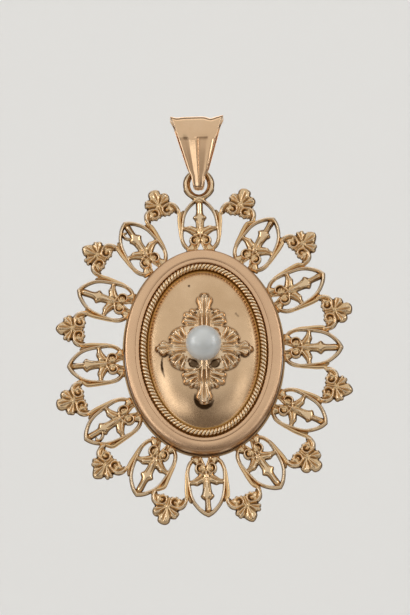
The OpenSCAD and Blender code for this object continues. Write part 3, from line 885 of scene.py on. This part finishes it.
rope = {
    "inward": (2.43, 2.45), "h": 0.84, "linePoints": 600, "strandSides": 12,
    "tree": {"Twists": 61, "Points": 1342, "Strands": 2, "Strand Radius": 0.0002, "Wind Radius": 0.00019},
    # distance from the middle line at which a strand gets painted shade or a painted highlight, and over what
    # depth
    "hollow": (0.325, 0.08), "crest": (0.345, 0.03),
}
ropeTurns = np.linspace(0, fullTurn, rope["linePoints"], endpoint=False)
ropeLine = np.column_stack([(plan["caseA"] - rope["inward"][0]) * np.sin(ropeTurns),
                            (plan["caseB"] - rope["inward"][1]) * np.cos(ropeTurns),
                            np.full(rope["linePoints"], rope["h"]), np.ones(rope["linePoints"])])
ropePiece = runTree(curveObject("rope", [ropeLine], plan["edge"], cyclic=True), makeRopeTree(),
                    dict(rope["tree"], Material=golds["rope"]))
middleLine = kdtree.KDTree(rope["linePoints"])
for k, spot in enumerate(toFrame(ropeLine[:, :3], plan["edge"])):
    middleLine.insert(spot, k)
middleLine.balance()
fromMiddle = np.array([middleLine.find(p)[2] for p in pointsOf(ropePiece)]) * toMm
# painted shade in the gaps between the strands, painted highlight on their tops
addPointValue(ropePiece, "hollow", np.clip((rope["hollow"][0] - fromMiddle) / rope["hollow"][1], 0, 1))
addPointValue(ropePiece, "crest", np.clip((fromMiddle - rope["crest"][0]) / rope["crest"][1], 0, 1))
dress(ropePiece, golds["rope"], "medallion", "rope_wire")
print("rope", len(ropePiece.data.polygons))

back = {
    "y": 1.1, "segments": 192,
    # from inside the cup over its edge to the rolled foot and the flat back; the third number, where given,
    # is painted shade inside the cup, over its edge and in the crease of the foot
    "rows": [[5, 0.4, 0.5], [0.4, 0.4, 0.5], [0.4, 2.69, 0.5], [0.03, 2.69, 0.3], [0, 2.66, 0.3], [0, 0.1],
             [0.02, 0.04], [0.08, 0], [0.8, 0, 0.1], [0.87, -0.02, 0.7], [0.9, -0.08, 0.5], [0.9, -0.22],
             [0.93, -0.28], [1.0, -0.3]],
    "parts": (0.8, 0.6, 0.4, 0.2),
}
backRows = rimRows(back["rows"])
backRows += [[backRows[-1][0] * part, backRows[-1][1] * part, backRows[-1][2]] for part in back["parts"]]
backPiece = sweptShell("case_cup", list(reversed(backRows)), back["segments"], back["y"], closed=False)
dress(backPiece, golds["case"], "medallion", "case_back")
print("case ready")

# ---- pearl and its cup ----

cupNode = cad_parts["pearl_cup"]
cupNode.data.materials.clear()
cupNode.data.materials.append(golds["cup"])
pearl = {"radius": 2.29, "middle": 4.78, "rings": 62, "segments": 128}


def pearlRows():
    angles = np.linspace(-math.pi / 2, math.pi / 2, pearl["rings"] + 2)[1:-1]
    return [[pearl["radius"] * math.cos(a), pearl["radius"] * math.cos(a),
             pearl["middle"] + pearl["radius"] * math.sin(a)] for a in angles]


pearlPiece = sweptShell("pearl_bead", pearlRows(), pearl["segments"], plan["edge"], closed=False)
dress(pearlPiece, pearlMaterial(), "medallion", "pearl")

# ---- bail ----

bail = {
    "topWidth": 6.6, "footWidth": 1.2, "height": 9.45, "foot": -2.2, "sheet": 0.36, "bend": 1.66,
    # side line of a strap: depth, height over the hinge, half of the thickness
    "line": [[0.3, -2.16, 0.16], [0.46, -2.0, 0.3], [0.58, -1.6, 0.32], [0.74, -1.1, 0.27],
             [0.95, -0.3, 0.2], [1.19, 1.0, 0.18], [1.45, 2.7, 0.18], [1.6, 4.1, 0.18]],
    "lineSteps": 8,
    "fold": 4.45,           # the flat band ends here, over the hinge
    "square": 3.2,          # 2 bends the top as a half circle, more makes it squarer
    "lift": 0.2,
    "lower": 0.19,          # the bend begins this much lower, to make room for the lift
    "bendSteps": 57, "acrossSteps": 55, "shortest": 0.015,
    "bevel": 0.24,          # width of the bevelled edge
    "bevelDrop": 0.07, "bevelPower": 1.5,
    "foldDrop": 0.22,       # height over which the flat band passes into the fluted part
    "flare": [0.2, 0.9, 0.9],       # the corners of the roll: amount, start over the bend, reach
    "footRound": [0.16, -1.85, 0.3],
    "waist": [[0.12, -0.68, 0.4], [0.34, -0.45, 0.62]],     # front and back strap: depth, height and reach
    "dents": [[0.24, 1.85, 0.62], [0.07, -2.5, 0.45]],      # in the roll: depth, place across it, reach
    "corner": [0.12, 2.7, 0.7],             # the ends of the roll are a little fuller: height, start, reach
    "shade": [0.12, 0.25, 0.3, 2.1],        # soft painted shade over the fold: depth, height, reach, half width
    "within": [0.8, 0.7],                   # how far the inner face follows the flutes, and the dents
    "fluteWidth": 2.5, "fluteBase": 0.07, "fluteBlur": (-0.03, -0.01, 0.01, 0.03),
    # height of the lower part over its lowest line, at places across it from -1 to 1, for that half width
    "flutes": [[-1.0, 0.05], [-0.8, 0.06], [-0.74, 0.0], [-0.58, 0.0], [-0.52, 0.02], [-0.06, 0.4],
               [-0.01, 0.38], [0.05, 0.12], [0.14, 0.05], [0.5, 0.03], [0.56, 0.04], [0.78, 0.23],
               [0.82, 0.21], [0.9, 0.03], [1.0, 0.0]],
    # painted dark reflections in stripes along the lower part: place across it, and depth of the tone
    "reflectionStripes": [[-0.92, 0], [-0.82, 0.4], [-0.6, 0.36], [-0.46, 0.1], [-0.08, 0.06], [-0.02, 0.6],
                [0.1, 0.45], [0.18, 0.2], [0.45, 0.2], [0.56, 0.05], [0.7, 0], [0.84, 0.22], [0.92, 0]],
    # painted shadow spots in the angle under the fold: from, to and depth of the tone
    "shadowSpots": [[-2.0, -1.5, 0.4], [0.0, 0.5, 1.0], [0.45, 1.35, 0.75]],
    "spotEdge": [0.12, 0.16], "spotUnder": [0.2, 0.13],
}
bendZ = bail["foot"] + bail["height"] - bail["bend"] - bail["lower"]
strap = smoothLine(bail["line"], bail["lineSteps"])
bendAngles = np.radians(np.linspace(0, 180, bail["bendSteps"]))


def squarer(value):
    return np.sign(value) * np.abs(value) ** (2 / bail["square"])


def ramp(value):
    return min(max(value, 0), 1)


bendLine = np.column_stack([-bail["bend"] * squarer(np.cos(bendAngles)),
                            bendZ + (bail["bend"] + bail["lift"]) * squarer(np.sin(bendAngles)),
                            np.full(bail["bendSteps"], bail["sheet"] / 2)])
foldRows = np.array([[-1.64, bail["fold"] - 0.12, 0.18], [-1.645, bail["fold"], 0.18]])     # as in "line"
sideLine = np.vstack([strap * [-1, 1, 1], foldRows, bendLine, strap[::-1]])
sideLine = sideLine[np.r_[True, np.hypot(*np.diff(sideLine[:, :2], axis=0).T) > bail["shortest"]]]
along = np.gradient(sideLine[:, :2], axis=0)
along /= np.hypot(along[:, 0], along[:, 1])[:, None]
outward = np.column_stack([-along[:, 1], along[:, 0]])
# places across a section, closer together at its edges
across = np.concatenate([[-1, -0.98, -0.94], np.linspace(-0.9, 0.9, bail["acrossSteps"]), [0.94, 0.98, 1]])
flutes = np.array(bail["flutes"]).T
fluteHeight = np.mean([np.interp(across + d, *flutes) for d in bail["fluteBlur"]], 0)
cornerHeight, cornerStart, cornerReach = bail["corner"]
shade, shadeUp, shadeReach, shadeHalf = bail["shade"]
withFlutes, withDents = bail["within"]
spotOut, spotFade = bail["spotEdge"]
spotUnder, spotReach = bail["spotUnder"]
sections, tones = [], []
for (y, z, thick), (ny, nz) in zip(sideLine, outward):
    wider = (bail["topWidth"] - bail["footWidth"]) * (z - bail["foot"]) / bail["height"]
    half = (bail["footWidth"] + wider) / 2
    more, start, reach = bail["flare"]
    half += more * ramp((z - bendZ - start) / reach) ** 2
    less, start, reach = bail["footRound"]
    half -= less * ramp((start - z) / reach) ** 2
    # a waist leaves room for the ring at the ends of the swing, deeper in the back strap
    depth, place, reach = bail["waist"][0 if y < 0 else 1]
    half -= depth * math.exp(-((z - place) / reach) ** 2)
    x = across * half
    under = ramp((bail["fold"] - z) / bail["foldDrop"])
    under = under * under * (3 - 2 * under)
    rim = np.clip((half - np.abs(x)) / min(bail["bevel"], 0.5 * half), 0, 1)
    bent = ramp((z - bendZ) / bail["bend"]) ** 2
    dent = sum(deep * np.exp(-((x - place) / reach) ** 2) for deep, place, reach in bail["dents"])
    dent -= cornerHeight * np.clip((np.abs(x) - cornerStart) / cornerReach, 0, 1) ** 2
    sunk = under * (bail["fluteBase"] - fluteHeight) * half / bail["fluteWidth"]
    top = thick - bail["bevelDrop"] * (1 - rim) ** bail["bevelPower"] - sunk - bent * dent
    low = -thick - withFlutes * sunk - bent * dent * withDents
    section = [(x[j], y + ny * top[j], z + nz * top[j]) for j in range(len(x))]
    section += [(x[j], y + ny * low[j], z + nz * low[j]) for j in reversed(range(len(x)))]
    sections.append(section)
    # the front strap gets painted shade: dark reflections in stripes, shadow spots under the fold and a soft
    # shade over it
    tone = under * np.interp(across, *np.array(bail["reflectionStripes"]).T)
    for first, last, depth in bail["shadowSpots"]:
        inside = np.clip((np.minimum(x - first, last - x) + spotOut) / spotFade, 0, 1)
        nearFold = math.exp(-((z - bail["fold"] + spotUnder) / spotReach) ** 2)
        tone = np.maximum(tone, depth * inside * nearFold)
    foldShade = shade * math.exp(-((z - bail["fold"] - shadeUp) / shadeReach) ** 2)
    tone = np.maximum(tone, foldShade * (np.abs(x) < shadeHalf))
    tones.append(np.concatenate([tone * (y < 0), np.zeros(len(x))]))
m = len(sections[0])
bailPoints = np.array(sections).reshape(-1, 3)
bailFaces = [(c * m + k, c * m + (k + 1) % m, (c + 1) * m + (k + 1) % m, (c + 1) * m + k)
             for c in range(len(sections) - 1) for k in range(m)]
bailFaces += [tuple(reversed(range(m))), tuple((len(sections) - 1) * m + k for k in range(m))]
bailPoints[:, 2] += plan["hinge"] - plan["drop"]        # the heights were measured over the hinge
bailPiece = newObject("bail_loop", bailPoints * mm, bailFaces)
addPointValue(bailPiece, "hollow", np.concatenate(tones))
dress(bailPiece, golds["bail"], "bail", "bail")
print("bail ready")

# ---- leafy ornament ----

ornament = {
    "turn": 1.75,           # it sits a little askew on the dome
    "shift": [0.08, -0.1],
    "box": (-6.9, -7.95, 6.9, 7.95),
    # it lies this far over the top of the dome, bends down with it, and its underside ends inside the dome
    "over": 0.04, "bend": 0.44, "bendSquare": 56, "sideways": 1.3, "sunk": 0.05, "facesBack": -0.3,
    # a quarter of the outline, from the top to the end of the side arm
    "edge": [[0, 7.45], [0.5, 7.35], [0.66, 6.98], [1.0, 6.72], [1.08, 6.25], [0.86, 5.75], [0.87, 5.4],
             [1.5, 5.15], [2.2, 4.8], [2.75, 4.1], [2.8, 3.5], [2.6, 3.0], [3.3, 2.85], [4.1, 2.4],
             [4.5, 1.7], [4.52, 1.0], [4.8, 0.76], [5.05, 0.92], [5.35, 1.08], [5.7, 0.86], [5.95, 0.5],
             [6.3, 0.3], [6.42, 0]],
    "leaves": [
        # ridges of the upright arm, and the fingers of the leaf on its shoulder
        [[0.72, 6.62, 0.3, 0.66], [0.66, 6.2, 0.34, 0.84], [0.5, 5.5, 0.28, 0.76], [0.42, 4.9, 0.24, 0.6]],
        [[0.3, 4.5, 0.24, 0.6], [0.32, 3.8, 0.26, 0.8], [0.26, 2.6, 0.24, 0.7], [0.22, 1.6, 0.2, 0.6]],
        [[0.72, 4.1, 0.24, 0.58], [1.2, 4.6, 0.36, 0.74], [1.6, 4.95, 0.34, 0.62]],
        [[0.82, 3.75, 0.26, 0.6], [1.65, 4.15, 0.42, 0.84], [2.3, 4.45, 0.42, 0.7]],
        [[0.95, 3.3, 0.26, 0.6], [1.75, 3.5, 0.4, 0.82], [2.5, 3.55, 0.4, 0.72]],
        [[0.7, 3.2, 0.22, 0.56], [0.95, 2.75, 0.26, 0.66]],
        # ridges of a side arm, and the fingers of its leaf
        [[5.6, 0.62, 0.26, 0.6], [5.28, 0.72, 0.32, 0.8], [4.8, 0.42, 0.28, 0.7], [4.1, 0.42, 0.24, 0.6]],
        [[3.9, 0.3, 0.24, 0.6], [3.0, 0.28, 0.26, 0.74], [2.2, 0.22, 0.24, 0.62]],
        [[3.05, 0.72, 0.24, 0.58], [3.75, 1.05, 0.36, 0.78], [4.3, 1.4, 0.36, 0.68]],
        [[2.75, 1.0, 0.24, 0.6], [3.3, 1.65, 0.42, 0.84], [3.75, 2.15, 0.42, 0.7]],
        [[2.35, 1.25, 0.24, 0.6], [2.65, 1.95, 0.4, 0.8], [2.9, 2.6, 0.38, 0.68]],
    ],
    "furrows": [
        # shallow grooves between the fingers, and between the leaves and the arms
        [[0.98, 5.3, 0.12, 0.14], [0.72, 4.85, 0.12, 0.18], [0.54, 4.2, 0.13, 0.2], [0.6, 3.5, 0.13, 0.22],
         [0.6, 2.7, 0.12, 0.2]],
        [[0.86, 4.0, 0.09, 0.1], [1.35, 4.4, 0.13, 0.2], [1.95, 4.95, 0.1, 0.12]],
        [[1.0, 3.55, 0.09, 0.12], [1.7, 3.84, 0.12, 0.2], [2.75, 3.98, 0.11, 0.14]],
        [[2.72, 3.04, 0.15, 0.24], [2.2, 2.98, 0.13, 0.22], [1.3, 3.0, 0.11, 0.2]],
        [[4.5, 0.86, 0.12, 0.14], [4.0, 0.72, 0.12, 0.18], [3.2, 0.54, 0.12, 0.2], [2.4, 0.54, 0.11, 0.18]],
        [[3.0, 0.95, 0.09, 0.1], [3.55, 1.4, 0.13, 0.2], [4.3, 1.9, 0.1, 0.12]],
        [[2.6, 1.2, 0.09, 0.12], [3.0, 1.9, 0.12, 0.2], [3.3, 2.7, 0.1, 0.14]],
    ],
    "pits": [[1.1, 4.62, 0.16, 0.3], [1.35, 2.15, 0.5, 1.1], [1.7, 1.8, 0.3, 0.8], [0.9, 2.4, 0.28, 0.8]],
    # open hollows with painted shade inside: x, y, radius
    "paintedHollowShade": [[-1.35, -2.1, 0.62], [1.35, -2.1, 0.62], [-1.1, 4.62, 0.2], [1.1, 4.62, 0.2]],
    "hollowShadeDepth": 0.9, "hollowShadeEnd": 1.2,
}


def ornamentForms():
    quarter = ornament["edge"]
    outline = quarter + [[x, -y] for x, y in reversed(quarter[1:-1])]
    outline += [[-x, -y] for x, y in quarter] + [[-x, y] for x, y in reversed(quarter[1:-1])]
    forms = [plate(outline, 0.42, 0.4, 0.7, 3)]
    for sx, sy in ((1, 1), (1, -1), (-1, 1), (-1, -1)):
        forms += [flipped(stroke(line, 1.7), sx, sy) for line in ornament["leaves"]]
    for sx in (1, -1):
        for sy in (1, -1):
            forms += [flipped(carve(line), sx, sy) for line in ornament["furrows"]]
            forms += [flipped(carve([[x, y, w, deep], [x + 0.14, y - 0.06, w, deep]]), sx, sy)
                      for x, y, w, deep in ornament["pits"]]
        forms += [
            # rounded knobs, the pit in the end of the side arms and the furrow of the upright ones
            flipped(stroke([[5.98, 0.05, 0.34, 0.6], [6.0, -0.05, 0.34, 0.6]], 1.8), sx),
            flipped(carve([[4.1, 0, 0.1, 0.1], [4.9, 0, 0.16, 0.26], [5.6, 0, 0.2, 0.32]]), sx),
            flipped(stroke([[0.05, 7.05, 0.3, 0.62], [-0.05, 7.05, 0.3, 0.62]], 1.8), 1, sx),
            flipped(carve([[0, 6.6, 0.16, 0.16], [0, 5.6, 0.18, 0.26], [0, 3.0, 0.1, 0.22]]), 1, sx),
            # ribs that fan out under the pearl, round the two open hollows
            flipped(stroke([[0.35, -2.35, 0.16, 0.6], [0.85, -2.9, 0.24, 0.82], [1.5, -3.25, 0.22, 0.8],
                            [2.0, -3.3, 0.16, 0.6]], 1.8), sx),
        ]
    return forms


# its side walls get strong painted shade, which draws a dark outline round it
ornamentPiece, ornamentField = reliefSolid(
    "leafy_cross", ornamentForms(), ornament["box"],
    edge=0.16, lip=0.06, backRound=0.05, keep=0.7, blur=2, sideDark=0.75, floor=-0.13, hollowDepth=0.36)
co = pointsOf(ornamentPiece)
ornamentShade = pointValues(ornamentPiece, "hollow")
# painted shade inside the open hollows
for px, py, r in ornament["paintedHollowShade"]:
    far = np.hypot(co[:, 0] - px, co[:, 1] - py) / r
    ornamentShade = np.maximum(ornamentShade, np.clip(markShare(far, ornament["hollowShadeEnd"]), 0, ornament["hollowShadeDepth"]))
addPointValue(ornamentPiece, "hollow", ornamentShade)
cosTurn, sinTurn = math.cos(math.radians(ornament["turn"])), math.sin(math.radians(ornament["turn"]))
x = co[:, 0] * cosTurn + co[:, 1] * sinTurn + ornament["shift"][0]
y = -co[:, 0] * sinTurn + co[:, 1] * cosTurn + ornament["shift"][1]
bed = domeHeight(0) + ornament["over"]
bed = bed - ornament["bend"] * ((x * ornament["sideways"]) ** 2 + y ** 2) / ornament["bendSquare"]
below = domeHeight(np.hypot(x / dome["a"], y / dome["b"])) - ornament["sunk"]
under = np.minimum(co[:, 2] + bed, below)
facing = pointsOf(ornamentPiece, "normal")[:, 2]
tall = np.where(facing < ornament["facesBack"], under, co[:, 2] + bed)
setPoints(ornamentPiece, toFrame(np.column_stack([x, y, tall]), plan["edge"]))
dress(ornamentPiece, golds["ornament"], "medallion", "leaf_ornament")

# painted shade on the dome along the edge of the ornament, its small dents and its painted dark marks
co = pointsOf(domePiece) * toMm
height = co[:, 2] + plan["drop"]
x, y = co[:, 0] - ornament["shift"][0], height - ornament["shift"][1]
near = sampled(ornamentField, ornamentField["inside"], x * cosTurn - y * sinTurn, x * sinTurn + y * cosTurn)
onTop = co[:, 1] < plan["edge"] - dome["frontOver"]
within = onTop & (np.abs(x) < dome["tarnishWithin"][0]) & (np.abs(y) < dome["tarnishWithin"][1])
depth, reach, power = dome["tarnish"]
domeShade = np.where(within, depth * np.clip(1 + near / reach, 0, 1) ** power, 0)
for px, py, r, deep in dome["dents"]:
    co[:, 1] += deep * onTop * np.exp(-(np.hypot(co[:, 0] - px, height - py) / r) ** 2)
for line in dome["marks"]:
    far, _, darkness = strokeField(co[:, 0], height, smoothLine(line, 6))
    domeShade = np.maximum(domeShade, darkness * onTop * np.clip(markShare(far, dome["markEnd"]), 0, 1))
setPoints(domePiece, co * mm)
addPointValue(domePiece, "hollow", np.maximum(pointValues(domePiece, "hollow"), domeShade))
print("ornament", len(ornamentPiece.data.polygons))

# ---- stage, lights and camera ----

middle = Vector((0, plan["edge"], -plan["drop"])) * mm
stage = {"floor": -0.5, "wall": 1.5, "bend": 0.6, "bendSteps": 24, "front": -0.3, "half": 2.4, "top": 1.8}


def sweepBackdrop():
    # floor that curves up into a plain wall behind the pendant
    rows = [(stage["front"], stage["floor"])]
    for k in range(stage["bendSteps"] + 1):
        a = math.radians(90 * k / stage["bendSteps"])
        rows.append((stage["wall"] - stage["bend"] * (1 - math.sin(a)),
                     stage["floor"] + stage["bend"] * (1 - math.cos(a))))
    rows.append((stage["wall"], stage["top"]))
    verts = [(x, y, z) for y, z in rows for x in (-stage["half"], stage["half"])]
    faces = [(2 * k, 2 * k + 1, 2 * k + 3, 2 * k + 2) for k in range(len(rows) - 1)]
    obj = newObject("floor", verts, faces)
    material, _, shader = newMaterial("paleFloor")
    fill(shader, {"Base Color": (0.8, 0.8, 0.79, 1), "Roughness": 0.9})
    obj.data.materials.append(material)


def softbox(name, azimuth, elevation, distance, size, brightness, target=middle):
    # azimuth is to the right of the viewer's side; brightness is the radiance of the panel
    a, e = math.radians(azimuth), math.radians(elevation)
    way = Vector((math.sin(a) * math.cos(e), -math.cos(a) * math.cos(e), math.sin(e)))
    spot = target + way * distance
    data = bpy.data.lights.new(name, "AREA")
    data.shape = "RECTANGLE"
    data.size, data.size_y = size
    data.energy = brightness * math.pi * size[0] * size[1]
    obj = addObject(name, data)
    obj.location = spot
    obj.rotation_mode = "QUATERNION"
    obj.rotation_quaternion = (target - spot).to_track_quat("-Z", "Y")
    obj.visible_camera = False


sweepBackdrop()
softbox("leftSoftbox", -43, -10, 0.6, (0.19, 0.26), 0.95)
softbox("lowLeftSoftbox", -27, -18, 0.6, (0.22, 0.12), 0.9)
softbox("lowRightSoftbox", 22, -19, 0.6, (0.17, 0.1), 0.4)
softbox("rightSoftbox", 40, -13, 0.6, (0.2, 0.25), 0.65)
softbox("leftRim", -72, 10, 0.7, (0.2, 0.5), 2.9)
softbox("rightRim", 72, 10, 0.7, (0.2, 0.5), 2.4)
softbox("backPanel", 180, 50, 0.7, (0.7, 0.4), 1.0)
softbox("topRim", 0, 74, 0.7, (0.6, 0.22), 0.35)
softbox("wallLight", 0, 35, 1.0, (2.0, 0.8), 1.1, target=Vector((0, stage["wall"], 0.0)))


def lightWorld(room, front, paper):
    # a dim room, with one broad soft light in front of the pendant and over it
    world = bpy.data.worlds.new("studio")
    bpy.context.scene.world = world
    world.use_nodes = True
    new = nodeMaker(world.node_tree)

    def share(low, high, value):
        return new("ShaderNodeMapRange", {"From Min": low, "From Max": high, "Value": value},
                   interpolation_type="SMOOTHSTEP")
    way = new("ShaderNodeTexCoord").outputs["Generated"]
    ahead = new("ShaderNodeVectorMath", {0: way, 1: (0, -0.93, 0.37)}, operation="DOT_PRODUCT")
    high = new("ShaderNodeSeparateXYZ", {0: way}).outputs["Z"]
    both = new("ShaderNodeMath", {0: share(0.25, 0.7, ahead.outputs["Value"]), 1: share(-0.33, 0.12, high)},
               operation="MULTIPLY")
    tone = colourMix(new, both, (*room, 1), (*front, 1))
    # past the edge of the backdrop the camera sees the same pale tone
    seen = colourMix(new, new("ShaderNodeLightPath").outputs["Is Camera Ray"], tone, (*paper, 1))
    fill(world.node_tree.nodes["Background"], {"Color": seen})


lightWorld((0.17, 0.148, 0.13), (0.66, 0.645, 0.62), (0.6, 0.595, 0.575))
bpy.context.scene.view_settings.view_transform = "Standard"

camera = {
    "distance": 1.0, "elevation": -13.0, "roll": 1.75, "mmPerPixel": 0.13,
    "frame": (410, 615), "centre": (203.75, 350.8),     # size of the view, and the middle of the case in it
}


def placeCamera():
    data = bpy.data.cameras.new("camera")
    obj = addObject("camera", data)
    e, r = math.radians(camera["elevation"]), math.radians(camera["roll"])
    toViewer = Vector((0, -math.cos(e), math.sin(e)))
    obj.rotation_mode = "QUATERNION"
    # the camera is rolled, so that the pendant leans to the left as in the photo
    obj.rotation_quaternion = (-toViewer).to_track_quat("-Z", "Y") @ Quaternion((0, 0, 1), -r)
    pixel = camera["mmPerPixel"] * mm
    wide, tall = camera["frame"]
    data.sensor_width = 36
    data.lens = data.sensor_width * camera["distance"] / (tall * pixel)
    right = obj.rotation_quaternion @ Vector((1, 0, 0))
    up = obj.rotation_quaternion @ Vector((0, 1, 0))
    offX, offY = camera["centre"][0] - wide / 2, tall / 2 - camera["centre"][1]
    obj.location = middle - right * (offX * pixel) - up * (offY * pixel) + toViewer * camera["distance"]
    data.clip_start, data.clip_end = 0.01, 20
    bpy.context.scene.camera = obj


placeCamera()
print("scene ready")
